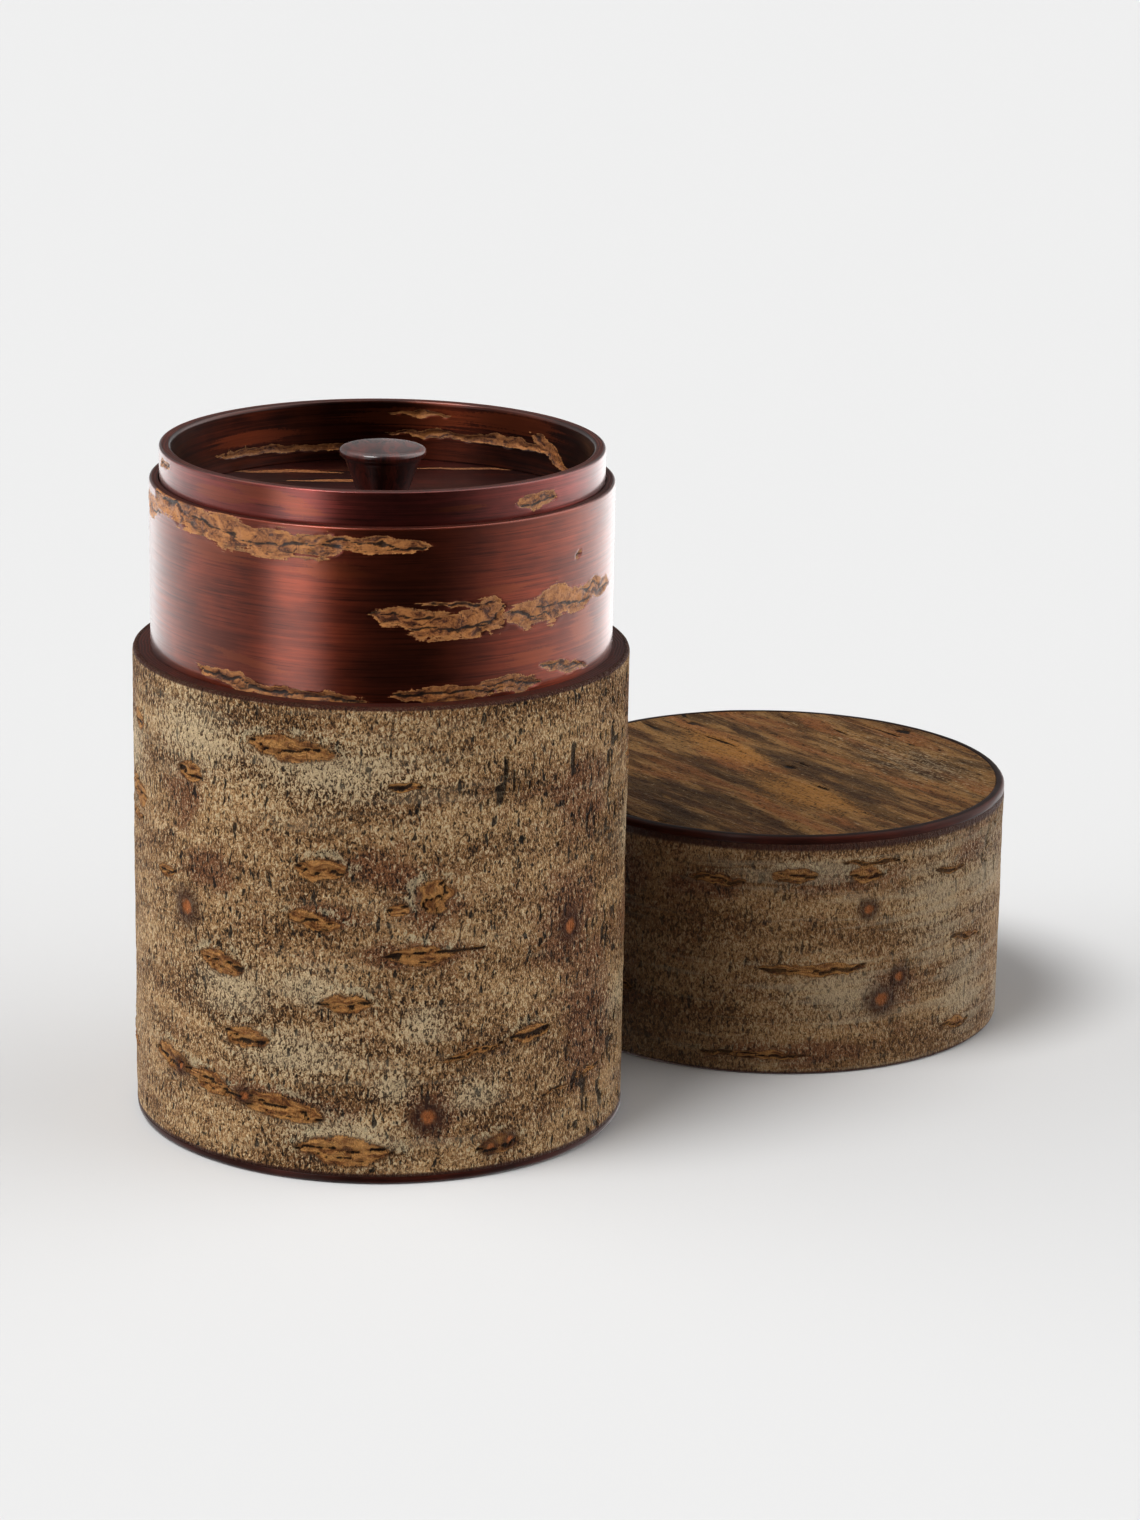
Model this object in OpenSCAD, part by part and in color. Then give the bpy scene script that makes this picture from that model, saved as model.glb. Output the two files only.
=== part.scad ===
// Cherry-bark tea caddy: a bark-clad tube with a polished neck, a cup-shaped
// inner lid that stands on a ledge inside the neck, and an outer cap that
// stands on the table beside it with its mouth down.
// Millimetres, +Z up, origin at the centre of the caddy's base.

/* [Caddy] */
// Outer diameter of the tube and of the cap
body_d = 80; // [60:1:120]
// Height of the bark-clad tube
tube_h = 78; // [50:1:140]
// Height of polished neck that stands above the tube
neck_h = 27.5; // [15:0.5:29]
// Thickness of the whole tube wall outside the neck
tube_wall = 2.8; // [2:0.1:4]
// Thickness of the neck's wall
neck_wall = 1.4; // [1.2:0.1:2]

/* [Bark] */
// Thickness of the raw outer bark
raw_bark_t = 0.8; // [0.5:0.1:1]
// Thickness of the polished bark
polished_bark_t = 0.4; // [0.2:0.05:0.5]
// Height of the polished band round the bottom and top edges
band_h = 1.3; // [0.9:0.1:2]
// Width of the polished band across the face
band_w = 1.4; // [1:0.1:1.8]

/* [Inner lid] */
// Height of the inner lid
lid_h = 12.8; // [10:0.2:18]
// How far the inner lid stands out of the neck
lid_proud = 5.3; // [2:0.1:7]
// Wall thickness of the inner lid's ring
lid_wall = 1.9; // [1.5:0.1:3]
// Gap all round between the inner lid and the neck
lid_gap = 0.2; // [0.1:0.05:0.4]
// Diameter of the knob
knob_d = 14; // [10:0.5:20]
// Thickness of the knob's rounded edge
knob_edge = 1.6; // [1:0.1:2.4]

/* [Cap] */
// Height of the cap
cap_h = 42; // [42:0.5:60]
// Gap all round between the cap and the neck
cap_gap = 0.15; // [0.05:0.05:0.4]
// Thickness of the cap's top, bark and board together
cap_top_t = 6; // [5:0.2:7]
// Distance on the table between the tube and the standing cap
standing_gap = 5.6; // [2:0.2:40]
// Direction of the standing cap from the caddy, turning from +X to +Y
standing_angle = 36.5; // [0:0.5:360]

/* [Hidden] */
$fn = 128;

// Radii, from the outside in
body_r = body_d / 2;
core_r = body_r - raw_bark_t;
neck_r = body_r - tube_wall;
neck_core_r = neck_r - polished_bark_t;
mouth_r = neck_r - neck_wall;
lining_t = 0.8;
tea_r = mouth_r - lining_t;
lid_r = mouth_r - lid_gap;
lid_core_r = lid_r - polished_bark_t;
lid_inner_r = lid_r - lid_wall;
lid_lining_r = lid_inner_r + polished_bark_t;
cap_bore_r = neck_r + cap_gap;
cap_lining_r = cap_bore_r + lining_t;
band_r = body_r - band_w;

// The hidden part of the neck tapers a little, to slide in and leave glue room
glue_gap = 0.1;
glue_taper = 0.1;

// Heights, from the table up
disc_bark_t = 0.7;
base_board_t = 4.1;
floor_t = 0.8;
board_top = disc_bark_t + base_board_t;
floor_top = board_top + floor_t;
neck_top = tube_h + neck_h;
lid_top = neck_top + lid_proud;
lid_bottom = lid_top - lid_h;
lid_board_t = 2;
lid_skin_t = 0.4;
lid_board_bottom = lid_bottom + lid_skin_t;
lid_board_top = lid_board_bottom + lid_board_t;
lid_floor_top = lid_board_top + lid_skin_t;
cap_ceiling = cap_h - cap_top_t;
cap_ceiling_t = 0.6;

// Small roundings and bevels
rim_round = 0.5;
band_round = 0.8;
mouth_bevel = 0.4;
neck_round = 0.3;
seat_relief = 0.3;
lid_bevel = 0.35;

// The knob: a cone on a tenon, widening upwards to a rounded edge
knob_r = knob_d / 2;
knob_top = lid_top - 0.2;
knob_foot_r = 3.2;
knob_tenon_r = 2.2;
knob_dome = 0.35;

cap_x = (body_d + standing_gap) * cos(standing_angle);
cap_y = (body_d + standing_gap) * sin(standing_angle);

// Points of an arc round [x, y] from angle a0 to angle a1
function arc(x, y, r, a0, a1, steps = 5) =
    [for (i = [0 : steps])
        let (a = a0 + (a1 - a0) * i / steps)
        [x + r * cos(a), y + r * sin(a)]];

// A plain ring or disc between two heights
module ring(outer_r, inner_r, z0, z1) {
    rotate_extrude()
        polygon([[inner_r, z0], [outer_r, z0], [outer_r, z1], [inner_r, z1]]);
}

// The ring that fills the rebate at an outside edge, rounded at its corner
module edge_band(z_face, up) {
    translate([0, 0, z_face])
        mirror([0, 0, up ? 1 : 0])
            rotate_extrude()
                polygon(concat(
                    [[band_r, band_h], [band_r, 0]],
                    arc(body_r - band_round, band_round, band_round, -90, 0),
                    [[body_r, band_h]]));
}

// The wound core: a tube with a rebate for the edge band at its closed end
module wound_core(bore_r, open_z, closed_z) {
    step = open_z > closed_z ? 1 : -1;
    rotate_extrude()
        polygon([
            [bore_r, open_z],
            [core_r, open_z],
            [core_r, closed_z + step * band_h],
            [band_r, closed_z + step * band_h],
            [band_r, closed_z + step * disc_bark_t],
            [bore_r, closed_z + step * disc_bark_t]]);
}

// The raw bark round a tube, from the band to the rounded open rim
module bark_wrap(closed_z, open_z) {
    step = open_z > closed_z ? 1 : -1;
    rotate_extrude()
        polygon(concat(
            [[core_r, closed_z + step * band_h], [body_r, closed_z + step * band_h]],
            arc(body_r - rim_round, open_z - step * rim_round, rim_round, 0, step * 90),
            [[core_r, open_z]]));
}

// ---- Caddy: tube, base and neck ----

module tube_bark() {
    color("#6b5a48") bark_wrap(0, tube_h);
}

module tube_core() {
    color("#3a241b") wound_core(neck_r, tube_h, 0);
}

module base_edge_band() {
    color("#5a2018") edge_band(0, false);
}

module base_board() {
    color("#a07a50") ring(neck_r, 0, disc_bark_t, board_top);
}

module base_bark() {
    color("#5a2a1c") ring(band_r, 0, 0, disc_bark_t);
}

module neck_bark() {
    color("#5c1d14")
        rotate_extrude()
            polygon(concat(
                [[neck_core_r, board_top],
                 [neck_r - glue_gap - glue_taper, board_top],
                 [neck_r - glue_gap, tube_h], [neck_r, tube_h + seat_relief]],
                arc(neck_r - neck_round, neck_top - neck_round, neck_round, 0, 90),
                [[neck_core_r, neck_top]]));
}

module neck_core() {
    color("#4a2a1c") ring(neck_core_r, mouth_r, board_top, neck_top);
}

module neck_lining() {
    color("#8a6038") ring(mouth_r, tea_r, floor_top, lid_bottom);
}

module floor_lining() {
    color("#8a6038") ring(mouth_r, 0, board_top, floor_top);
}

// ---- Inner lid ----

module lid_ring_bark() {
    color("#5c1d14")
        rotate_extrude()
            polygon([
                [lid_core_r, lid_bottom], [lid_r, lid_bottom],
                [lid_r, lid_top - lid_bevel / 2], [lid_core_r, lid_top]]);
}

module lid_ring_core() {
    color("#3a1a12") ring(lid_core_r, lid_lining_r, lid_bottom, lid_top);
}

module lid_ring_lining() {
    color("#6a2014")
        rotate_extrude()
            polygon([
                [lid_inner_r, lid_floor_top], [lid_lining_r, lid_floor_top],
                [lid_lining_r, lid_top], [lid_inner_r, lid_top - lid_bevel]]);
}

module lid_board() {
    color("#a07a50")
        ring(lid_lining_r, knob_tenon_r, lid_board_bottom, lid_board_top);
}

module lid_floor_bark() {
    color("#6a2014")
        ring(lid_lining_r, knob_tenon_r, lid_board_top, lid_floor_top);
}

module lid_underside_bark() {
    color("#5c1d14") ring(lid_lining_r, 0, lid_bottom, lid_board_bottom);
}

module lid_knob() {
    half_edge = knob_edge / 2;
    edge_z = knob_top - knob_dome - half_edge;
    color("#4a1610")
        rotate_extrude()
            polygon(concat(
                [[0, lid_board_bottom], [knob_tenon_r, lid_board_bottom],
                 [knob_tenon_r, lid_floor_top], [knob_foot_r, lid_floor_top]],
                arc(knob_r - half_edge, edge_z, half_edge, -80, 90, 8),
                [[knob_r / 2, knob_top - knob_dome / 4], [0, knob_top]]));
}

// ---- Cap, mouth down on the table ----

module at_cap() {
    translate([cap_x, cap_y, 0]) children();
}

module cap_bark() {
    color("#5f5040") at_cap() bark_wrap(cap_h, 0);
}

module cap_core() {
    color("#3a241b") at_cap() wound_core(cap_lining_r, 0, cap_h);
}

module cap_lining() {
    color("#5c1d14")
        at_cap()
            rotate_extrude()
                polygon([
                    [cap_bore_r + mouth_bevel * 0.6, 0], [cap_lining_r, 0],
                    [cap_lining_r, cap_ceiling],
                    [cap_bore_r + seat_relief, cap_ceiling],
                    [cap_bore_r, cap_ceiling - seat_relief],
                    [cap_bore_r, mouth_bevel]]);
}

module cap_board() {
    color("#a07a50")
        at_cap()
            ring(cap_lining_r, 0, cap_ceiling + cap_ceiling_t, cap_h - disc_bark_t);
}

module cap_top_bark() {
    color("#6a5238") at_cap() ring(band_r, 0, cap_h - disc_bark_t, cap_h);
}

module cap_edge_band() {
    color("#5a2018") at_cap() edge_band(cap_h, true);
}

module cap_ceiling_bark() {
    color("#5c1d14")
        at_cap() ring(cap_lining_r, 0, cap_ceiling, cap_ceiling + cap_ceiling_t);
}

tube_bark();
tube_core();
base_edge_band();
base_board();
base_bark();
neck_bark();
neck_core();
neck_lining();
floor_lining();
lid_ring_bark();
lid_ring_core();
lid_ring_lining();
lid_board();
lid_floor_bark();
lid_underside_bark();
lid_knob();
cap_bark();
cap_core();
cap_lining();
cap_board();
cap_top_bark();
cap_edge_band();
cap_ceiling_bark();
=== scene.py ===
import bpy
import numpy as np
from math import cos, pi, radians, sin
from mathutils import Matrix, Vector


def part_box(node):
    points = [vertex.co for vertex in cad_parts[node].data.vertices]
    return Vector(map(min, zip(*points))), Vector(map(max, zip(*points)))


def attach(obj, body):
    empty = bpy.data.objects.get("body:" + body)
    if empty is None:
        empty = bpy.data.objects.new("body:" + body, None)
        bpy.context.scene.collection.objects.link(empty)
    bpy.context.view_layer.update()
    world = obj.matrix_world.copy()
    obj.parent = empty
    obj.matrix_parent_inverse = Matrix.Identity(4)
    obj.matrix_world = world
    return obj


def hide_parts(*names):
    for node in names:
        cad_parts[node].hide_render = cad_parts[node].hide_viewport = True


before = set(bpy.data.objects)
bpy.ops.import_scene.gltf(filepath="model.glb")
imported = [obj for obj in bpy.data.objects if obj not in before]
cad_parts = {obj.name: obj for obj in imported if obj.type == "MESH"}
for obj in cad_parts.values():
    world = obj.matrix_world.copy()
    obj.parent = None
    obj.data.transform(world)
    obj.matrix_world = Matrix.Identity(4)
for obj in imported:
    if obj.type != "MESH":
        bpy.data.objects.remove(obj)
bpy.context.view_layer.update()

# ---------------------------------------------------------------------------
# The table and the studio light: a seamless pale table, one large soft lamp
# high up on the left, and a room for the polished bark to mirror, bright behind
# and at the sides and dark where the onlooker stands. Matt bark gets even light.
# ---------------------------------------------------------------------------
scene = bpy.context.scene
scene.view_settings.view_transform = "Standard"
scene.view_settings.gamma = 0.86

eye = Vector((0.0006, -0.7096, 0.2635))
eye_turn, eye_tip, eye_roll = radians(2.43), radians(16.11), radians(0.97)
camera_data = bpy.data.cameras.new("camera")
camera_data.lens = 107.5
camera_data.sensor_width = 36
camera_data.clip_start = 0.05
camera_data.clip_end = 100
camera = bpy.data.objects.new("camera", camera_data)
camera.matrix_world = (
    Matrix.Translation(eye)
    @ Matrix.Rotation(-eye_turn, 4, "Z")
    @ Matrix.Rotation(pi / 2 - eye_tip, 4, "X")
    @ Matrix.Rotation(eye_roll, 4, "Z")
)
scene.collection.objects.link(camera)
scene.camera = camera


class Value:
    """One output of a finish's node. Arithmetic on it adds Math nodes."""

    def __init__(self, finish, socket):
        self.finish, self.socket = finish, socket

    def _maths(self, operation, *values, clamp=False):
        settings = {"operation": operation, "use_clamp": clamp}
        return self.finish.node("ShaderNodeMath", settings, *values)

    def __add__(self, other):
        return self._maths("ADD", self, other)

    def __sub__(self, other):
        return self._maths("SUBTRACT", self, other)

    def __rsub__(self, other):
        return self._maths("SUBTRACT", other, self)

    def __mul__(self, other):
        return self._maths("MULTIPLY", self, other)

    __radd__ = __add__
    __rmul__ = __mul__

    def clamp(self):
        """The value held between 0 and 1."""
        return self._maths("ADD", self, 0.0, clamp=True)

    def rise(self, low, high):
        """0 below low, 1 above high, and a smooth step between them."""
        settings = {"interpolation_type": "SMOOTHSTEP"}
        return self.finish.node("ShaderNodeMapRange", settings, self, low, high, 0.0, 1.0)


class Finish:
    """A material that is built up from nodes."""

    def __init__(self, name, tree=None):
        if tree is None:
            self.material = bpy.data.materials.new(name)
            self.material.use_nodes = True
            tree = self.material.node_tree
            self.shader = tree.nodes["Principled BSDF"]
        self.tree = tree

    def node(self, kind, settings, *values, output=0):
        """Adds a node: settings first, then the values or links of its inputs."""
        made = self.tree.nodes.new(kind)
        for key, setting in settings.items():
            setattr(made, key, setting)
        places = [s for s in made.inputs if s.enabled]
        for place, value in zip(places, values):
            if value is not None:
                self.feed(place, value)
        shown = [s for s in made.outputs if s.enabled]
        return Value(self, shown[output])

    def feed(self, place, value):
        """Sets an input, or links it."""
        if isinstance(value, Value):
            self.tree.links.new(value.socket, place)
        else:
            place.default_value = value

    def set(self, **values):
        """Sets the shader's own inputs, with _ for the spaces in their names."""
        for key, value in values.items():
            self.feed(self.shader.inputs[key.replace("_", " ")], value)

    def spot(self, size_mm, centre=(0, 0, 0), turn=0.0):
        """The object's own position, in features of the given size along x, y and z."""
        place = self.node("ShaderNodeTexCoord", {}, output=3)
        scale = tuple(1000 / s for s in size_mm)
        if turn:
            place = self.node(
                "ShaderNodeMapping", {"vector_type": "TEXTURE"}, place, centre, (0, 0, turn), (1, 1, 1)
            )
            centre = (0, 0, 0)
        shift = tuple(-c * s for c, s in zip(centre, scale))
        return self.node("ShaderNodeMapping", {"vector_type": "POINT"}, place, shift, (0, 0, 0), scale)

    def noise(self, size_mm, detail=2.0, rough=0.5, warp=0.0, seed=0.0, turn=0.0, centre=(0, 0, 0)):
        """Cloudy noise, about 0.5 in the middle, whose features have the given size."""
        place = self.spot(size_mm, centre, turn)
        if seed:
            away = (seed, seed * 1.7, seed * 0.6)
            place = self.node("ShaderNodeVectorMath", {"operation": "ADD"}, place, away)
        return self.streaks(place, detail, rough, warp)

    def streaks(self, place, detail, rough, warp=0.0):
        """The same noise, read at places that are already in features."""
        scale, finer = 1.0, 2.0
        return self.node("ShaderNodeTexNoise", {}, place, scale, detail, rough, finer, warp)

    def mark(self, name):
        """A value kept on the piece's points."""
        return self.node("ShaderNodeAttribute", {"attribute_name": name}, output=2)

    def mix(self, under, over, share):
        """One colour laid over another by a share from 0 to 1."""
        return self.node("ShaderNodeMix", {"data_type": "RGBA"}, share, under, over)

    def bump(self, height, depth_mm):
        """Fine relief: a height from 0 to 1 that stands for the given depth."""
        strength = 1.0
        self.set(Normal=self.node("ShaderNodeBump", {}, strength, depth_mm / 1000, None, height))


floor_mesh = bpy.data.meshes.new("table")
floor_reach = 30.0
floor_corners = [(-floor_reach, -floor_reach, 0), (floor_reach, -floor_reach, 0)]
floor_corners += [(floor_reach, floor_reach, 0), (-floor_reach, floor_reach, 0)]
floor_mesh.from_pydata(floor_corners, [], [(0, 1, 2, 3)])
floor = bpy.data.objects.new("table", floor_mesh)
scene.collection.objects.link(floor)
table_paint = Finish("table_paint")
pale = 0.65
table_paint.set(Base_Color=(pale, pale, pale, 1), Roughness=0.9, Specular_IOR_Level=0.0)
floor_mesh.materials.append(table_paint.material)
floor.visible_glossy = False

room = bpy.data.worlds.new("room")
room.use_nodes = True
scene.world = room
air = Finish("room", room.node_tree)
way = air.node("ShaderNodeTexCoord", {}, output=0)
parts = air.node("ShaderNodeSeparateXYZ", {}, way)
to_right, to_back, to_top = (Value(air, output) for output in parts.socket.node.outputs)
# Angles round the room, in radians: 0 at the front, growing to the right.
turned_by = air.node("ShaderNodeMath", {"operation": "ARCTAN2"}, to_right, -1.0 * to_back)
from_front = air.node("ShaderNodeMath", {"operation": "ABSOLUTE"}, turned_by)
from_lamp = air.node("ShaderNodeMath", {"operation": "ABSOLUTE"}, turned_by + 0.76)
above = to_top.rise(-0.05, 0.12)
# What gloss mirrors: walls that brighten towards the back, a tall lamp, a ceiling.
walls = 1.8 * from_front.rise(0.5, 2.2) * (1 - 0.45 * from_front.rise(2.6, 3.05))
walls = walls + 0.35 * turned_by.rise(0.4, 1.3)
tall_lamp = 3.3 * (1 - from_lamp.rise(0.05, 0.38))
back_wall = 1 - 0.68 * from_front.rise(1.8, 2.7) * above
ceiling = 1.1 * to_top.rise(0.45, 0.85) * to_back.rise(-0.35, 0.25)
right_wall = 1.5 * turned_by.rise(0.8, 1.4) * (1 - turned_by.rise(2.1, 2.7)) * above
mirrored = 0.02 + walls * back_wall * (1 - 0.25 * above) + right_wall
mirrored = mirrored + tall_lamp * (1 - 0.5 * above) + ceiling
# What lights matt surfaces: a dim, even room with a pale wall on either side.
even = 0.08 + 0.20 * to_top.rise(0.0, 0.9) + 3.2 * to_right.rise(0.5, 0.98)
even = even + 2.9 * (-1.0 * to_right).rise(0.5, 0.98)
# What stands behind the table: plain and as pale as the table looks.
plain = 0.88
seen_in_gloss = air.node("ShaderNodeLightPath", {}, output=3)
seen_plainly = air.node("ShaderNodeLightPath", {}, output=0)
brightness = seen_in_gloss * mirrored + (1 - seen_in_gloss) * even
brightness = seen_plainly * plain + (1 - seen_plainly) * brightness
background = room.node_tree.nodes["Background"]
background.inputs["Color"].default_value = (1, 1, 1, 1)
air.feed(background.inputs["Strength"], brightness)

key_data = bpy.data.lights.new("key", "SUN")
key_data.energy = 2.25
key_data.angle = radians(26)
key = bpy.data.objects.new("key", key_data)
key.matrix_world = Matrix.Rotation(radians(-58), 4, "Z") @ Matrix.Rotation(radians(27), 4, "X")
scene.collection.objects.link(key)

# ---------------------------------------------------------------------------
# Raw bark of the tube: cherry bark taken off the tree whole, with its grey
# bloom, corky breathing slits and healed knots, wrapped once round the tube
# and glued. Only its cut edges are scraped smooth.
# ---------------------------------------------------------------------------


def grain(x, y, cell_x, cell_y, seed, round_mm=None):
    """Smooth noise from -1 to 1 on a flat or unrolled surface. Random numbers
    stand at the corners of a lattice, and each point takes the mean of its four
    corners, weighted by the smooth step 3t^2 - 2t^3 of its place in the cell.
    With round_mm the lattice closes on itself after that length of x."""
    columns = max(3, round(round_mm / cell_x)) if round_mm else 0
    u = x / (round_mm / columns if round_mm else cell_x)
    v = y / cell_y
    i, j = np.floor(u).astype(int), np.floor(v).astype(int)
    s, t = u - i, v - j
    s, t = s * s * (3 - 2 * s), t * t * (3 - 2 * t)
    i0, j0 = i.min(), j.min()
    wide = columns or int(i.max() - i0) + 2
    table = np.random.default_rng(seed).random((wide, int(j.max() - j0) + 2)) * 2 - 1
    a, b = (i - i0) % wide, (i - i0 + 1) % wide
    c, d = j - j0, j - j0 + 1
    low = table[a, c] * (1 - s) + table[b, c] * s
    high = table[a, d] * (1 - s) + table[b, d] * s
    return low * (1 - t) + high * t


def step(low, high, x):
    """The smooth step 3t^2 - 2t^3 of x from low, where it is 0, to high."""
    t = np.clip((x - low) / (high - low), 0, 1)
    return t * t * (3 - 2 * t)


def turned(name, grid, fields, poles=False):
    """A closed surface on a grid of points: rows run along the outline and
    columns round the axis. The outline closes on itself, or, with poles, its
    first and last rows close on a point each, the mean of the row."""
    rows, columns = grid.shape[:2]
    points = grid.reshape(-1, 3)
    index = np.arange(rows * columns).reshape(rows, columns)
    right = np.roll(index, -1, 1)
    last = rows - 1 if poles else rows
    up = np.roll(index, -1, 0)
    faces = np.stack([index, right, np.roll(up, -1, 1), up], -1)[:last].reshape(-1, 4)
    loops, starts = faces.ravel(), np.arange(len(faces)) * 4
    if poles:
        points = np.vstack([points, grid[0].mean(0), grid[-1].mean(0)])
        foot, head = rows * columns, rows * columns + 1
        under = np.stack([np.full(columns, foot), right[0], index[0]], -1)
        over = np.stack([np.full(columns, head), index[-1], right[-1]], -1)
        fans = np.vstack([under, over])
        starts = np.concatenate([starts, len(loops) + np.arange(len(fans)) * 3])
        loops = np.concatenate([loops, fans.ravel()])
        fields = {k: np.concatenate([f.ravel(), [f[0].mean(), f[-1].mean()]]) for k, f in fields.items()}
    mesh = bpy.data.meshes.new(name)
    mesh.vertices.add(len(points))
    mesh.vertices.foreach_set("co", (points / 1000).astype(np.float32).ravel())
    mesh.loops.add(len(loops))
    mesh.loops.foreach_set("vertex_index", loops.astype(np.int32))
    mesh.polygons.add(len(starts))
    mesh.polygons.foreach_set("loop_start", starts.astype(np.int32))
    mesh.polygons.foreach_set("use_smooth", np.ones(len(starts), bool))
    mesh.update(calc_edges=True)
    mesh.validate()
    for key, values in fields.items():
        layer = mesh.attributes.new(key, "FLOAT", "POINT")
        layer.data.foreach_set("value", np.ascontiguousarray(values, np.float32).ravel())
    piece = bpy.data.objects.new(name, mesh)
    scene.collection.objects.link(piece)
    return piece


def outline(corners, steps):
    """Points along straight stretches between corners (radius, height), each
    stretch cut into its number of steps. The last corner is kept."""
    stops = np.concatenate([[0], np.cumsum(steps)])
    at = np.arange(stops[-1] + 1)
    corners = np.array(corners, float)
    return np.stack([np.interp(at, stops, corners[:, 0]), np.interp(at, stops, corners[:, 1])], -1)


def rounding(r, z, radius, start, stop, steps):
    """Corners on an arc about (r, z): radius times the cosine and sine."""
    a = np.radians(np.linspace(start, stop, steps + 1))
    return [(r + radius * cos(x), z + radius * sin(x)) for x in a]


def revolve(profile, columns, lift=0.0, centre=(0, 0)):
    """Turns an outline round the axis, each point moved out by lift along the
    outline's normal. Angle 0 faces the onlooker and grows to the right."""
    turn = np.linspace(0, 2 * pi, columns, endpoint=False)
    along = np.gradient(profile, axis=0)
    along /= np.linalg.norm(along, axis=1)[:, None] + 1e-12
    r = profile[:, 0, None] + along[:, 1, None] * lift
    z = profile[:, 1, None] - along[:, 0, None] * lift
    z = z + 0 * turn[None, :]
    return np.stack([centre[0] + r * np.sin(turn), centre[1] - r * np.cos(turn), z], -1)


def unroll(profile, columns, radius):
    """Distance round the bark and height of every point of the grid, in mm."""
    turn = np.linspace(0, 2 * pi, columns, endpoint=False)
    around = np.broadcast_to(turn * radius, (len(profile), columns))
    height = np.broadcast_to(profile[:, 1, None], (len(profile), columns))
    return around, height


def from_mark(around, height, mark, radius):
    """Distance of each point from a mark's middle, along and across the mark.
    A mark is (angle in degrees, height, length, thickness, tilt in degrees)."""
    full = 2 * pi * radius
    s = (around - radians(mark[0]) * radius + full / 2) % full - full / 2
    t = height - mark[1]
    tilt = radians(mark[4])
    return s * cos(tilt) + t * sin(tilt), t * cos(tilt) - s * sin(tilt)


def corky(around, height, marks, radius, seed):
    """The corky slits. Inside each, the field falls from 1 on the middle line
    to 0 on a lens-shaped outline, as 1 - (s/half length)^2 - |t|/half
    thickness, and it goes on below 0 outside. The points are first moved by
    small noise, so that no outline is even. Also returned: how close the point
    is to the slit's own cracks, which run along the lens like the lines of a
    hull, how much pale frill stands over the outline, mostly above it, and
    the place along and across the slit nearest to the point."""
    full = 2 * pi * radius
    wobble = [grain(around, height, 2.6, 1.5, seed + n, full) for n in (1, 2)]
    ripple = [grain(around, height, 0.9, 0.7, seed + n, full) for n in (3, 4)]
    x = around + 0.9 * wobble[0] + 0.35 * ripple[0]
    y = height + 0.42 * wobble[1] + 0.24 * ripple[1]
    field = np.full(around.shape, -3.0)
    crack, frill = np.zeros(around.shape), np.zeros(around.shape)
    along, across = np.zeros(around.shape), np.zeros(around.shape)
    wander = 0.35 * grain(around, height, 3.5, 3.5, seed + 9, full)
    for n, mark in enumerate(marks):
        s, t = from_mark(x, y, mark, radius)
        u, v = s / (mark[2] / 2), t / (mark[3] / 2)
        inside = 1 - u**2 - np.abs(v) ** 1.2 * 0.95
        hull = v / np.sqrt(np.clip(1 - u**2, 0.04, 1))
        nearer = inside > field
        field = np.where(nearer, inside, field)
        along = np.where(nearer, s + 11.0 * n, along)
        across = np.where(nearer, hull + 3.0 * n, across)
        slit = np.exp(-(((v - wander) * mark[3] / 2 / 0.25) ** 2)) * step(-0.12, 0.25, inside)
        second = np.exp(-(((hull + 0.48 + 0.3 * wander) * mark[3] / 2 / 0.16) ** 2)) * step(0.1, 0.4, inside)
        crack = np.maximum(crack, np.maximum(slit, 0.75 * second))
        upper = np.exp(-(((inside + 0.50) / 0.50) ** 2)) * (0.25 + 0.75 * step(-0.5, 0.5, v))
        frill = np.maximum(frill, upper * min(1, mark[3] / 3))
    frill = frill * (0.6 + 0.6 * grain(around, height, 2.2, 1.6, seed + 8, full))
    return field, crack, frill, along, across


def knotted(around, height, knots, radius):
    """The healed knots: distance from the middle over the knot's radius,
    1 on its edge. Each is (angle, height, width, thickness, tilt)."""
    near = np.full(around.shape, 4.0)
    for knot in knots:
        s, t = from_mark(around, height, knot, radius)
        near = np.minimum(near, np.hypot(s / (knot[2] / 2), t / (knot[3] / 2)))
    return near


def rubbed(around, height, patches, radius):
    """Soft patches: the largest of exp(-distance squared) over all of them."""
    share = np.zeros(around.shape)
    for patch in patches:
        s, t = from_mark(around, height, patch, radius)
        share = np.maximum(share, np.exp(-((s / (patch[2] / 2)) ** 2) - (t / (patch[3] / 2)) ** 2))
    return share


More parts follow.
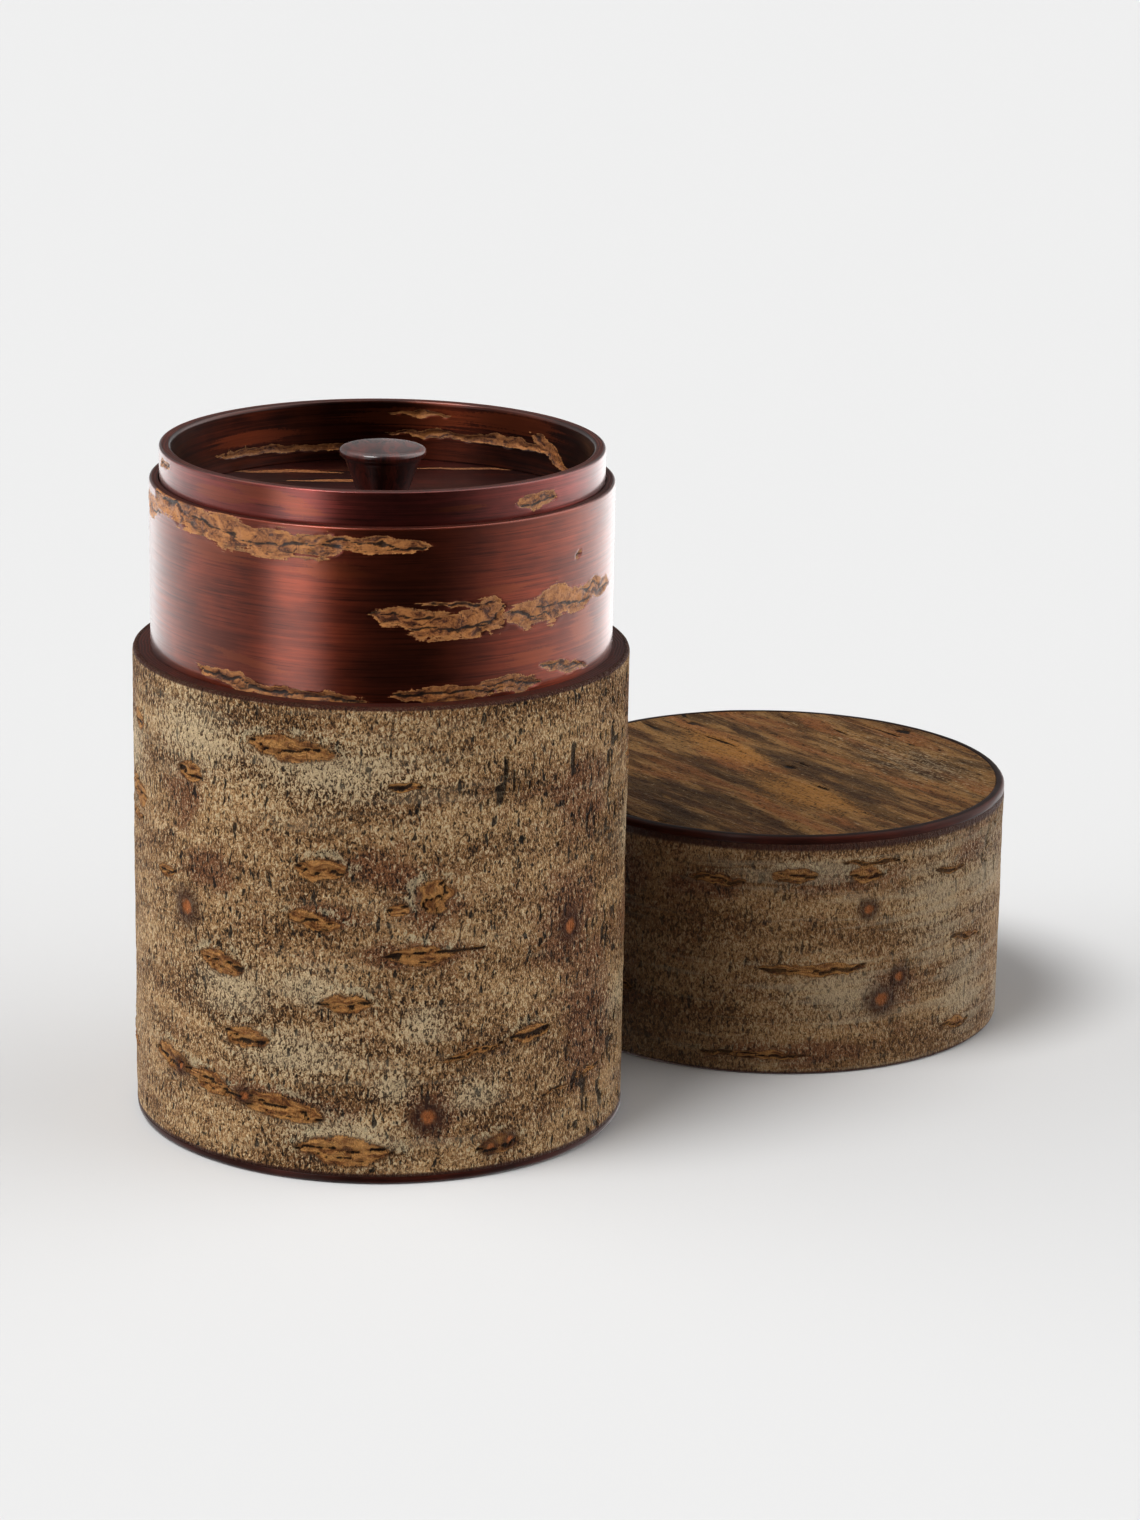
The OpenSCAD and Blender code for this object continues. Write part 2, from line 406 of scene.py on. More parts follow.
def raw_skin(profile, columns, radius, marks, seed, rows, z_low, z_high, scraped=1.0):
    """Relief and marks of raw bark on an unrolled grid. The relief is the sum
    of a slow swell, upright fibres, the corky slits standing up round their
    cracks, and a ring round each knot, less small pits, which stand closest in
    the pitted patches. It is nothing on the hidden rows and at both cut edges,
    where the upper one is scraped over a strip of the given width."""
    slits, knots, frost, rust, pitted = marks
    around, height = unroll(profile, columns, radius)
    full = 2 * pi * radius
    field, crack, frill, along, across = corky(around, height, slits, radius, seed)
    near = knotted(around, height, knots, radius)
    cold = rubbed(around, height, frost, radius)
    warm = rubbed(around, height, rust, radius)
    swell = 0.10 * grain(around, height, 17, 11, seed + 11, full)
    fibre = 0.055 * grain(around, height, 0.85, 2.3, seed + 12, full)
    fibre += 0.05 * grain(around, height, 1.7, 3.1, seed + 13, full)
    rough = rubbed(around, height, pitted, radius)
    pits = grain(around, height, 0.75, 2.2, seed + 14, full)
    pits = step(0.80 - 0.50 * rough, 0.96 - 0.40 * rough, pits)
    lumps = 0.75 + 0.5 * grain(around, height, 1.1, 0.9, seed + 15, full)
    cushion = 0.26 * step(-0.25, 0.5, field) * lumps
    lip = 0.12 * np.exp(-(((field + 0.12) / 0.16) ** 2))
    knot = 0.22 * np.exp(-(((near - 0.75) / 0.35) ** 2)) - 0.10 * np.exp(-((near / 0.3) ** 2))
    relief = swell + fibre - (0.14 + 0.22 * rough) * pits + cushion + lip + knot - 0.42 * crack
    outside = np.zeros(len(profile))
    outside[rows[0]:rows[1]] = 1
    fade = step(z_low, z_low + 1.2, height) * (1 - step(z_high - scraped, z_high - 0.1, height))
    relief = relief * outside[:, None] * fade
    fields = {"cork": field, "crack": crack, "frill": frill, "along": along, "across": across}
    fields |= {"knot": near, "frost": cold, "rust": warm, "pit": pits}
    fields["cut_edge"] = 1 - outside[:, None] * fade
    return relief, fields


def rgb(red, green, blue):
    """A colour given as it looks on a screen, 0 to 255, turned into light."""
    shown = [c / 255 for c in (red, green, blue)]
    light = [c / 12.92 if c <= 10 / 255 else ((c + 0.055) / 1.055) ** 2.4 for c in shown]
    return (*light, 1.0)


def raw_bark(name, wear_and_shade=0.0, frosty=1.0):
    """Raw bark: an olive and rust-brown ground broken up by upright grains, pale
    crests on the grains, partly the bark's grey frost and partly a painted
    highlight of their glints, near-black painted shade between them, golden-brown
    cork drawn out along the slits, and dark halos round the knots. More
    wear_and_shade gives a hazier ground with less of that black, and a dark brown
    laid over all of it, which is painted shade; less frosty bark has fewer pale
    crests."""
    f = Finish(name)
    broad = f.noise((20, 20, 6), 3, 0.55)
    middle = f.noise((4.5, 4.5, 3.0), 3, 0.6, 0.3, seed=3)
    fibre = f.noise((0.44, 0.44, 0.80), 2, 0.55, 0.9, seed=7)
    fine = f.noise((0.22, 0.22, 0.34), 2, 0.6, 0.4, seed=11)
    hoops = f.noise((24, 24, 1.8), 3, 0.6, 0.4, seed=19)
    cork = f.mark("cork")
    cold, warm = f.mark("frost"), f.mark("rust")
    grit = fibre * 0.62 + fine * 0.38
    ground = f.mix(rgb(164, 120, 74), rgb(198, 156, 108), broad.rise(0.35, 0.65))
    ground = f.mix(ground, rgb(140, 88, 48), (middle + (fine - 0.5) * 0.6).rise(0.48, 0.72) * 0.55)
    rusty = (warm * 1.3 + (middle - 0.5) * 1.5 + (fibre - 0.5)).rise(0.25, 1.0)
    ground = f.mix(ground, rgb(142, 90, 56), rusty * 0.8)
    # Painted shade: near-black laid between the grains, where the relief's shade falls.
    gap_shade = 1 - (grit + (broad - 0.5) * 0.16).rise(0.38, 0.53)
    ground = f.mix(ground, rgb(34, 19, 9), gap_shade * (0.94 - 0.35 * wear_and_shade))
    # Partly painted highlight: the pale crests of the grains are the bark's grey frost and also stand for
    # glints on them.
    bloom_and_glint = (grit + cold * 0.10 - warm * 0.03 + (broad - 0.5) * 0.14).rise(0.51, 0.62)
    ground = f.mix(ground, rgb(244, 222, 182), bloom_and_glint * (0.72 * frosty))
    specks = 1 - (f.noise((0.7, 0.7, 2.0), 1, 0.4, 0.5, seed=17) - warm * 0.05).rise(0.27, 0.35)
    ground = f.mix(ground, rgb(12, 7, 4), specks * (0.9 - 0.6 * wear_and_shade))
    pits = (f.mark("pit") + (fine - 0.5) * 0.8).rise(0.35, 0.8)
    ground = f.mix(ground, rgb(14, 8, 5), pits * (0.85 - 0.5 * wear_and_shade))
    hazy = (hoops + cold * 0.22 - 0.08).rise(0.46, 0.66)
    ground = f.mix(ground, rgb(208, 190, 160), hazy * (0.20 + 0.44 * wear_and_shade))
    edge = cork + (fibre - 0.5) * 0.5 + (fine - 0.5) * 0.4
    frill = (f.mark("frill") + (fibre - 0.5) * 2.4 + (fine - 0.5) * 1.4).rise(0.35, 0.85)
    ground = f.mix(ground, rgb(208, 192, 158), frill * (0.62 * frosty))
    place = f.node("ShaderNodeCombineXYZ", {}, f.mark("along") * 0.35, f.mark("across") * 2.4, 0.0)
    lines = f.streaks(place, 3.0, 0.6)
    flesh = f.mix(rgb(140, 88, 42), rgb(206, 152, 90), lines.rise(0.38, 0.60))
    flesh = f.mix(flesh, rgb(70, 36, 16), (1 - (lines * 0.75 + fibre * 0.25).rise(0.34, 0.45)) * 0.7)
    flesh = f.mix(flesh, rgb(52, 26, 12), (1 - edge.rise(0.08, 0.26)) * 0.8)
    ground = f.mix(ground, flesh, edge.rise(0.0, 0.20) * 0.95)
    near = f.mark("knot") + (fine - 0.5) * 0.4 + (middle - 0.5) * 0.5
    ground = f.mix(ground, rgb(70, 34, 18), (1 - near.rise(0.70, 2.1)) * 0.8)
    ground = f.mix(ground, rgb(196, 122, 70), (1 - near.rise(0.25, 0.70)) * 0.9)
    crack = (f.mark("crack") + (fine - 0.5) * 0.9 + (fibre - 0.5) * 0.5).rise(0.35, 0.75)
    ground = f.mix(ground, rgb(24, 10, 5), crack * (0.92 - 0.4 * wear_and_shade))
    scraped = f.mark("cut_edge").rise(0.35, 0.8)
    ground = f.mix(ground, rgb(74, 31, 19), scraped * 0.92)
    # Painted shade: a dark brown laid over the whole ground, in proportion to the share given, darkens the
    # cap's bark as a whole.
    ground = f.mix(ground, rgb(42, 26, 14), wear_and_shade * (0.52 - 0.3 * middle))
    rough = 0.68 - 0.16 * bloom_and_glint - 0.08 * scraped
    f.set(Base_Color=ground, Roughness=rough, Specular_IOR_Level=0.22)
    f.bump(grit - specks * 0.35 - crack * 0.3, 2.2)
    return f.material


tube_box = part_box("tube_bark")
tube_r = tube_box[1].x * 1000
tube_low, tube_high = tube_box[0].z * 1000, tube_box[1].z * 1000
bark_thick = 0.8
bark_in_r = tube_r - bark_thick
rim_round = 0.5
bark_columns = 600
tube_outline = outline(
    [(bark_in_r, tube_low), (tube_r, tube_low), (tube_r, tube_high - rim_round)]
    + rounding(tube_r - rim_round, tube_high - rim_round, rim_round, 0, 90, 3)[1:]
    + [(bark_in_r, tube_high), (bark_in_r, tube_high - 2)],
    [2, 150, 1, 1, 1, 2, 1],
)
tube_slits = [
    (-20.5, 70.6, 16, 4.2, -3), (-48, 64, 6.5, 3.6, 0), (-13.5, 51.8, 9.5, 3.8, -2),
    (-15, 43.3, 10, 3.0, -6), (4, 45.6, 4.5, 2.4, 0), (-38.5, 34, 10.5, 4.0, -8),
    (9, 38, 11, 3.6, 0), (19, 38.4, 10, 1.0, 4), (-8, 30.2, 8.5, 3.4, 0),
    (-32, 22.6, 8.5, 4.0, -6), (21, 21.2, 12, 1.6, 6), (36, 22.8, 9, 3.0, 8),
    (45, 11.6, 8, 0.9, 5), (57, 12.8, 9, 1.4, 6), (-55, 15.0, 12, 3.8, -8),
    (-42, 13.6, 12, 3.4, -8), (-24, 11.8, 19, 4.2, -6), (-8, 5.5, 16.5, 5.4, 0),
    (28.5, 5.2, 9, 3.4, 6), (12.5, 47.6, 6.5, 5.6, 60), (5.5, 65.2, 7, 1.4, 0),
    (-58, 46, 6, 2.4, 10),
]
tube_knots = [
    (-49.5, 41.6, 4.4, 4.6, 0), (11, 11.1, 4.4, 4.4, 0),
    (48.5, 38.8, 4.0, 4.6, 0), (-52, 14.5, 3.0, 2.6, 0), (-32, 12.7, 2.8, 2.4, 0),
    (26, 4.9, 2.4, 2.4, 0), (31, 5.6, 2.4, 2.6, 0),
]
tube_frost = [
    (10, 26.5, 9, 7, 0), (-16, 32, 12, 6, 0), (-8, 8, 20, 8, 0), (3, 16, 8, 7, 0),
    (-36, 30, 16, 10, 0), (-20, 21, 22, 9, 0), (-12, 67, 30, 10, 0), (22, 14, 9, 6, 0),
    (-46, 70, 22, 12, 0),
]
tube_rust = [
    (-42, 48.7, 12, 7, 0), (11, 46, 12, 9, 0), (48, 40, 16, 22, 0), (0, 52, 16, 7, 0),
    (-50, 60, 10, 12, 0), (58, 22, 16, 30, 0), (12, 11, 11, 9, 0), (-24, 13, 34, 5, -6),
    (8, 38, 22, 5, 0), (52, 60, 18, 16, 0), (-12, 44, 12, 4, 0),
]
tube_pitted = [(70, 62, 34, 44, 0), (66, 10, 34, 44, 0), (62, 36, 22, 16, 0), (30, 67, 16, 12, 0)]
wild = np.random.default_rng(41)


def strewn(count, start, stop, low, high, long, thick):
    """Marks at random angles and heights, for the sides nobody arranged."""
    ranges = ((start, stop), (low, high), long, thick, (-7, 7))
    return [tuple(wild.uniform(*between) for between in ranges) for _ in range(count)]


tube_slits += strewn(26, 72, 292, 5, 73, (5, 15), (1.4, 4.4))
tube_knots += strewn(8, 75, 288, 6, 70, (2.6, 5), (2.8, 5))
tube_frost += strewn(12, 75, 288, 5, 74, (9, 24), (6, 14))
tube_rust += strewn(14, 75, 288, 5, 74, (9, 24), (5, 16))

tube_marks = (tube_slits, tube_knots, tube_frost, tube_rust, tube_pitted)
tube_rows = (3, 153)
relief, tube_fields = raw_skin(
    tube_outline, bark_columns, tube_r, tube_marks, 100, tube_rows, tube_low, tube_high
)
tube_bark = turned("tube_bark_skin", revolve(tube_outline, bark_columns, relief), tube_fields)
tube_bark.data.materials.append(raw_bark("raw_bark_tube"))
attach(tube_bark, "caddy")
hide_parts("tube_bark")

# ---------------------------------------------------------------------------
# Wound core, boards and linings: thin veneer wound and glued into tubes, the
# boards planed flat. Their cut ends are stained dark and waxed at the rims.
# ---------------------------------------------------------------------------


def end_grain(name, dark, light, rough):
    """Cut edges of wound veneer: thin rings round the axis, dark glue lines
    between paler wood, broken up by fine specks and long stains."""
    f = Finish(name)
    place = f.spot((1, 1, 1))
    flat = f.node("ShaderNodeVectorMath", {"operation": "MULTIPLY"}, place, (1, 1, 0))
    ring = f.node("ShaderNodeVectorMath", {"operation": "LENGTH"}, flat)
    wander = f.noise((9, 9, 9), 2, 0.5)
    line = f.node("ShaderNodeMath", {"operation": "SINE"}, (ring + wander * 1.4) * 13.0)
    streak = f.noise((5, 5, 0.5), 3, 0.6, seed=5)
    speck = f.noise((0.4, 0.4, 0.4), 2, 0.6, seed=9)
    tone = f.mix(dark, light, (line * 0.35 + 0.35 + (streak - 0.5) * 1.2).clamp())
    tone = f.mix(tone, rgb(16, 7, 5), (1 - speck.rise(0.36, 0.5)) * 0.6)
    f.set(Base_Color=tone, Roughness=0.42 + rough * speck, Specular_IOR_Level=0.2)
    f.bump(line * 0.2 + speck * 0.5, 0.08)
    return f.material


def plain_wood(name, dark, light):
    """Planed wood, or bark scraped flat: long fibres along x, darker pores and a
    slow drift from the dark to the light tone."""
    f = Finish(name)
    figure = f.noise((22, 1.6, 22), 3, 0.6, 0.5)
    pores = f.noise((3.5, 0.22, 0.22), 2, 0.6, seed=4)
    tone = f.mix(dark, light, figure.rise(0.3, 0.7))
    tone = f.mix(tone, rgb(64, 36, 18), (1 - pores.rise(0.32, 0.46)) * 0.6)
    f.set(Base_Color=tone, Roughness=0.52 + 0.2 * pores, Specular_IOR_Level=0.35)
    f.bump(pores, 0.06)
    return f.material


rim_finish = end_grain("rim_finish", rgb(50, 20, 14), rgb(92, 44, 32), 0.15)
board_finish = plain_wood("board_finish", rgb(168, 122, 74), rgb(202, 160, 108))
veneer_finish = plain_wood("veneer_finish", rgb(128, 82, 46), rgb(164, 112, 66))


def finish_node(name, material):
    """Gives a CAD node its finish in place of the plain one."""
    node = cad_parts[name]
    node.data.materials.clear()
    node.data.materials.append(material)


for node_name in ("tube_core", "neck_core", "lid_ring_core", "cap_core"):
    finish_node(node_name, rim_finish)
for node_name in ("base_board", "lid_board", "cap_board"):
    finish_node(node_name, board_finish)
for node_name in ("neck_lining", "floor_lining", "cap_lining", "cap_ceiling_bark"):
    finish_node(node_name, veneer_finish)

# ---------------------------------------------------------------------------
# Polished bark of the neck: the same bark with its outer skin scraped off
# down to the red layer and rubbed to a deep gloss. The corky slits stay, as
# golden, pitted islands. It is wound with its fibres round the tube.
# ---------------------------------------------------------------------------


def polished_skin(profile, columns, radius, islands, smears, seed, rows):
    """Relief and marks of polished bark: slow swells of a few hundredths of a
    millimetre, and the corky islands a little sunk and broken by pits."""
    around, height = unroll(profile, columns, radius)
    full = 2 * pi * radius
    field, crack, _, along, across = corky(around, height, islands, radius, seed)
    warm = rubbed(around, height, smears, radius)
    inside = step(0.0, 0.3, field)
    swell = 0.035 * grain(around, height, 26, 7, seed + 11, full)
    broken = grain(around, height, 1.0, 0.8, seed + 12, full)
    relief = swell + inside * (0.10 * broken - 0.10) + 0.05 * np.exp(-((field / 0.12) ** 2))
    relief = relief - 0.22 * crack * inside
    outside = np.zeros(len(profile))
    outside[rows[0]:rows[1]] = 1
    relief = relief * outside[:, None]
    return relief, {"cork": field, "crack": crack, "rust": warm, "along": along, "across": across}


def polished_bark(name, deep, red, size=(30, 30, 0.5), metal=0.9, coat=0.9):
    """Polished bark: a deep oxblood ground drawn out in fine streaks of the given
    size along the fibres, with a coppery sheen, and golden islands of cork with
    pale rims and dark cracks, all under a coat of lacquer."""
    f = Finish(name)
    long_x, long_y, thin = size
    streak = f.noise((long_x, long_y, thin), 3, 0.6)
    hair = f.noise((long_x / 3, long_y / 3, thin / 2), 2, 0.6, seed=5)
    cloud = f.noise((13, 13, 7), 3, 0.6, seed=9)
    fine = f.noise((0.5, 0.5, 0.45), 2, 0.6, 0.6, seed=13)
    tone = f.mix(deep, red, (streak * 0.45 + cloud * 0.55).rise(0.36, 0.66))
    tone = f.mix(tone, rgb(38, 14, 9), (1 - hair.rise(0.30, 0.48)) * 0.45)
    smear = (f.mark("rust") * 1.2 + (streak - 0.5) * 1.8 + (fine - 0.5) * 0.6).rise(0.45, 0.75)
    tone = f.mix(tone, rgb(124, 60, 32), smear * 0.6)
    cork = f.mark("cork") + (streak - 0.5) * 1.1 + (fine - 0.5) * 0.6
    inside = cork.rise(0.0, 0.14)
    place = f.node("ShaderNodeCombineXYZ", {}, f.mark("along") * 0.28, f.mark("across") * 1.1, 0.0)
    lines = f.streaks(place, 3.0, 0.6, 0.9)
    flesh = f.mix(rgb(116, 68, 36), rgb(176, 120, 68), (fine * 0.3 + lines * 0.7).rise(0.40, 0.62))
    flesh = f.mix(flesh, rgb(56, 24, 12), (1 - (lines + (fine - 0.5) * 0.4).rise(0.34, 0.45)) * 0.75)
    flesh = f.mix(flesh, rgb(190, 140, 84), (1 - cork.rise(0.12, 0.26)) * 0.5)
    tone = f.mix(tone, flesh, inside)
    crack = (f.mark("crack") + (fine - 0.5) * 0.9).rise(0.4, 0.8)
    tone = f.mix(tone, rgb(22, 8, 5), crack * 0.9)
    f.set(
        Base_Color=tone,
        Metallic=metal * (1 - inside) if metal else 0.0,
        Roughness=0.40 + inside * 0.2 + (hair - 0.5) * 0.2,
        Specular_IOR_Level=0.1 + 0.4 * coat,
        Anisotropic=0.85,
        Anisotropic_Rotation=0.25,
        Coat_Weight=coat - inside * (0.75 * coat) if coat else 0.0,
        Coat_Roughness=0.18,
        Coat_IOR=1.42,
    )
    f.bump(hair * 0.25 * (1 - inside) + inside * fine, 0.12)
    return f.material


neck_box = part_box("neck_bark")
neck_low, neck_high = neck_box[0].z * 1000, neck_box[1].z * 1000
neck_r = neck_box[1].x * 1000
skin_thick = 0.4
neck_in_r = neck_r - skin_thick
neck_round = 0.3
neck_columns = 560
neck_outline = outline(
    [(neck_in_r, neck_low), (neck_r - 0.2, neck_low), (neck_r - 0.1, tube_high - 1)]
    + [(neck_r, tube_high + 0.3), (neck_r, neck_high - neck_round)]
    + rounding(neck_r - neck_round, neck_high - neck_round, neck_round, 0, 90, 3)[1:]
    + [(neck_in_r, neck_high)],
    [1, 3, 2, 96, 1, 1, 1, 1],
)
neck_islands = [
    (-66, 104.8, 12, 4.0, -4), (-54, 103.8, 14, 5.2, -5), (-40, 102.9, 15, 5.8, -5),
    (-27, 102.3, 12, 5.2, -3), (-16, 102.4, 9, 4.4, 0), (-1, 102.9, 17, 2.6, -2),
    (6, 91.4, 13, 3.0, -3), (14, 89.9, 11, 4.4, 0), (21, 90.0, 7, 4.6, 0),
    (27, 91.0, 6, 5.8, 20), (38, 90.4, 9, 4.6, -6), (46, 91.2, 9, 6.6, 0),
    (55, 90.6, 9, 4.4, -4), (66, 91.5, 12, 3.0, -8), (56, 98.1, 1.6, 1.3, 0),
    (-38, 79.6, 17, 2.4, -6), (-18, 78.6, 22, 2.2, -2), (16, 78.9, 18, 2.6, 0),
    (32, 79.6, 12, 3.0, -4), (50, 80.6, 14, 2.0, -10), (18, 93.2, 14, 1.0, -3),
]
neck_smears = [
    (-44, 99.4, 17, 4, 2), (-12, 98.6, 12, 3.5, 0), (30, 95, 12, 2, 0), (58, 86, 8, 8, 0),
    (-34, 83, 16, 1.6, -8), (40, 83.5, 12, 3, 0),
]
neck_islands += strewn(14, 82, 285, 80, 104, (7, 20), (1.6, 5))
neck_smears += strewn(8, 82, 285, 80, 104, (8, 18), (2, 5))
neck_rows = (6, 103)
relief, neck_fields = polished_skin(
    neck_outline, neck_columns, neck_r, neck_islands, neck_smears, 300, neck_rows
)
neck_bark = turned("neck_bark_skin", revolve(neck_outline, neck_columns, relief), neck_fields)
neck_finish = polished_bark("polished_bark_neck", rgb(90, 37, 22), rgb(126, 55, 32))
neck_bark.data.materials.append(neck_finish)
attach(neck_bark, "caddy")
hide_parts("neck_bark")

# ---------------------------------------------------------------------------
# Edge bands: a narrow strip of polished bark let in round the bottom edge of
# the tube and the top edge of the cap, and rounded over with the scraper.
# ---------------------------------------------------------------------------
cap_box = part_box("cap_bark")
cap_centre = ((cap_box[0].x + cap_box[1].x) * 500, (cap_box[0].y + cap_box[1].y) * 500)
cap_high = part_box("cap_edge_band")[1].z * 1000
band_in_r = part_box("base_bark")[1].x * 1000
band_round = 0.8
band_columns = 480
band_finish = polished_bark(
    "polished_bark_band", rgb(40, 17, 12), rgb(72, 31, 22), (12, 12, 0.6), metal=0.0, coat=0.0
)


def edge_band(name, centre, face, up, seed):
    """A ring whose outline is the rebate's corner with its outer edge rounded,
    set in or out by slow noise of a few hundredths. Its flat side, dark where it
    runs in under the disc, is at height face and looks down, or, with up, up."""
    arc = rounding(tube_r - band_round, band_round, band_round, -90, 0, 6)
    corners = [(band_in_r, tube_low), (band_in_r, 0)] + arc + [(tube_r, tube_low)]
    profile = outline(corners, [1, 2] + [1] * 6 + [2])
    if up:
        profile = np.stack([profile[:, 0], face - profile[:, 1]], -1)[::-1]
    around, height = unroll(profile, band_columns, tube_r)
    uneven = 0.04 * grain(around, height, 6, 1.0, seed, 2 * pi * tube_r)
    if not up:
        uneven[np.abs(profile[:, 1] - face) < 0.01] = 0
    overlap = step(tube_r - 0.2, tube_r - 0.7, profile[:, 0, None]) + 0 * uneven
    fields = {"cork": np.full(uneven.shape, -1.0), "crack": overlap}
    ring = turned(name, revolve(profile, band_columns, uneven, centre), fields)
    ring.data.materials.append(band_finish)
    return ring


base_band = edge_band("base_band_skin", (0, 0), 0, False, 500)
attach(base_band, "caddy")
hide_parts("base_edge_band")
cap_band = edge_band("cap_band_skin", cap_centre, cap_high, True, 520)
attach(cap_band, "cap")
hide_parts("cap_edge_band")
finish_node("base_bark", plain_wood("polished_bark_base", rgb(58, 24, 16), rgb(98, 42, 28)))

# ---------------------------------------------------------------------------
# Inner lid: a shallow cup of the same build. Its ring is wound veneer with
# polished bark outside and inside, and its floor is a disc of polished bark
# on a thin board.
# ---------------------------------------------------------------------------
lid_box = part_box("lid_ring_bark")
lid_low, lid_high = lid_box[0].z * 1000, lid_box[1].z * 1000
lid_r = lid_box[1].x * 1000
lid_core_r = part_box("lid_ring_core")[1].x * 1000
lid_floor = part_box("lid_floor_bark")[1].z * 1000
lid_lining_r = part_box("lid_ring_lining")[1].x * 1000
lid_in_r = lid_lining_r - skin_thick
lid_columns = 520
ring_outline = outline(
    [(lid_core_r, lid_low), (lid_r, lid_low), (lid_r, lid_high - 0.3)]
    + rounding(lid_r - 0.25, lid_high - 0.3, 0.25, 0, 80, 3)[1:]
    + [(lid_core_r, lid_high)],
    [1, 44, 1, 1, 1, 1],
)
ring_islands = [(42.5, 107.6, 9.5, 2.6, 2)]
ring_smears = [(-30, 109.2, 16, 3, -4), (-44, 108, 14, 3, 0), (-20, 107.2, 8, 2, 0), (20, 108, 10, 1, 0)]
ring_islands += strewn(6, 75, 290, 106.5, 110, (6, 14), (1.2, 3))
ring_smears += strewn(6, 75, 290, 106.5, 110, (8, 18), (2, 4))
ring_rows = (2, 46)
relief, ring_fields = polished_skin(
    ring_outline, lid_columns, lid_r, ring_islands, ring_smears, 600, ring_rows
)
relief = np.minimum(relief, 0.05)
lid_ring = turned("lid_ring_skin", revolve(ring_outline, lid_columns, relief), ring_fields)
lid_ring.data.materials.append(polished_bark("polished_bark_lid", rgb(92, 39, 33), rgb(132, 56, 48)))
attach(lid_ring, "inner_lid")
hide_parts("lid_ring_bark")

lining_outline = outline(
    [(lid_lining_r, lid_floor), (lid_lining_r, lid_high), (lid_in_r + 0.12, lid_high - 0.18)]
    + [(lid_in_r, lid_high - 0.5), (lid_in_r, lid_floor)],
    [1, 2, 1, 40],
)
lining_islands = [
    (-150, 103.4, 30, 1.6, 2), (-166, 102.8, 16, 1.2, 0), (160, 105.2, 26, 1.4, 2),
    (140, 105.4, 22, 1.6, 0), (124, 105.0, 12, 2.2, 30), (170, 108.6, 12, 0.9, 0),
    (60, 104.5, 20, 1.8, 0), (-70, 105, 22, 1.8, 0), (10, 104, 24, 1.8, 0),
]
lining_smears = [(172, 108, 26, 4, 0), (140, 108.5, 24, 3.5, 0), (-140, 106, 20, 3, 0), (30, 106, 30, 4, 0)]
lining_rows = (4, 44)
relief, lining_fields = polished_skin(
    lining_outline, lid_columns, lid_in_r, lining_islands, lining_smears, 640, lining_rows
)
lining_fields["crack"] *= 0
lid_lining = turned("lid_lining_skin", revolve(lining_outline, lid_columns, relief), lining_fields)
# The lining's polished bark is darker than the neck's, and darker still by painted shade for the inside of
# the cup.
lid_lining.data.materials.append(
    polished_bark("polished_bark_lining", rgb(44, 15, 8), rgb(92, 39, 20), metal=0.92, coat=0.7)
)
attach(lid_lining, "inner_lid")
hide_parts("lid_ring_lining")

floor_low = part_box("lid_floor_bark")[0].z * 1000
floor_hub = 0.4
floor_outline = outline(
    [(floor_hub, floor_low), (lid_lining_r, floor_low), (lid_lining_r, lid_floor)]
    + [(lid_in_r - 1.2, lid_floor), (floor_hub, lid_floor)],
    [2, 1, 4, 60],
)
floor_columns = 360
floor_turn = np.linspace(0, 2 * pi, floor_columns, endpoint=False)[None, :]
floor_x = floor_outline[:, 0, None] * np.sin(floor_turn)
floor_y = -floor_outline[:, 0, None] * np.cos(floor_turn)
# The floor's corky bands run along x and are a little bent: (x, y, length, thickness).
floor_marks = [
    (-16, 24, 22, 2.0), (-8, 17, 18, 1.6), (14, 27, 20, 1.4), (6, -12, 30, 2.4), (-6, -25, 22, 2.0),
]
floor_bands = np.full(floor_x.shape, -3.0)
for mark_x, mark_y, long, thick in floor_marks:
    off = floor_x - mark_x
    bent = floor_y - mark_y + 0.01 * off**2 + 0.5 * grain(floor_x, floor_y, 3, 3, 661)
    inside = 1 - (off / (long / 2)) ** 2 - np.abs(bent) / (thick / 2)
    floor_bands = np.maximum(floor_bands, inside)
floor_smear = 0.5 * step(0.3, 0.9, grain(floor_x, floor_y, 18, 2.5, 662))
floor_relief = 0.03 * grain(floor_x, floor_y, 12, 6, 663) - 0.06 * step(0, 0.3, floor_bands)
floor_relief[:4] = 0
floor_fields = {"cork": floor_bands, "crack": np.zeros(floor_x.shape), "rust": floor_smear}
floor_grid = revolve(floor_outline, floor_columns, floor_relief)
lid_floor_skin = turned("lid_floor_skin", floor_grid, floor_fields, poles=True)
# The floor's polished bark is darker than the neck's, and darker still by painted shade for the bottom of
# the cup.
floor_finish = polished_bark(
    "polished_bark_floor", rgb(34, 9, 6), rgb(64, 18, 11), (26, 0.7, 26), metal=0.92, coat=0.5
)
lid_floor_skin.data.materials.append(floor_finish)
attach(lid_floor_skin, "inner_lid")
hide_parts("lid_floor_bark")
finish_node("lid_underside_bark", plain_wood("polished_bark_under", rgb(58, 24, 16), rgb(98, 42, 28)))

